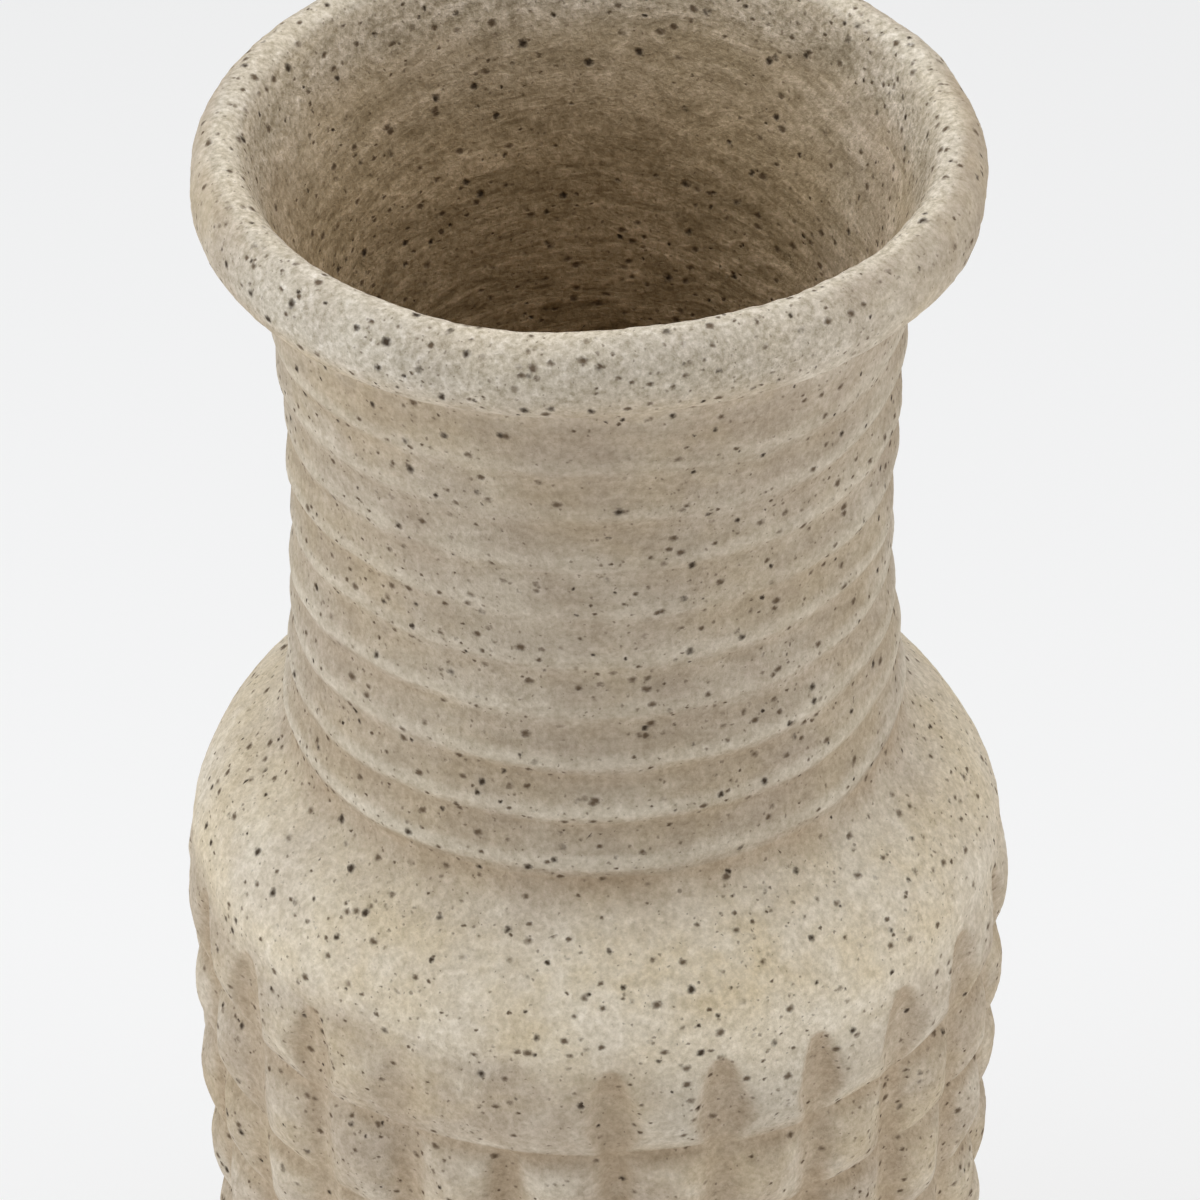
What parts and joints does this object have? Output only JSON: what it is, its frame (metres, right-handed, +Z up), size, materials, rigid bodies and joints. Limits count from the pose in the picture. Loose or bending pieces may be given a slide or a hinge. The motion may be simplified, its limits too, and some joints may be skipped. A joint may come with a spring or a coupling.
{
  "type": "tall planter",
  "caption": "Tall clay planter with a rolled rim, ribbed neck, smooth shoulder and a body carved into rows of pads, on felt feet, with a lift-out drain plug.",
  "frame": {"origin": "on the floor under the middle of the pot", "axes": "+Z up the pot's axis, out of the mouth; -Y is the side that the picture shows"},
  "size_m": [0.3024, 0.3024, 0.6201],
  "materials": {
    "clay": "matte, unglazed, sandy speckle with pits and pale and ochre patches",
    "plug_rubber": "matte moulded rubber",
    "felt": "pressed wool felt"
  },
  "bodies": {
    "pot": {"base": "clay", "lower_wall": "clay", "upper_wall": "clay", "shoulder": "clay", "neck": "clay", "rim": "clay", "felt_pad_1": "felt", "felt_pad_2": "felt", "felt_pad_3": "felt", "felt_pad_4": "felt"},
    "plug": {"drain_plug": "plug_rubber"}
  },
  "joints": [
    {"name": "plug_lift", "type": "slide", "parent": "pot", "child": "plug", "axis": [0, 0, 1], "range_m": [0, 0.62]}
  ]
}
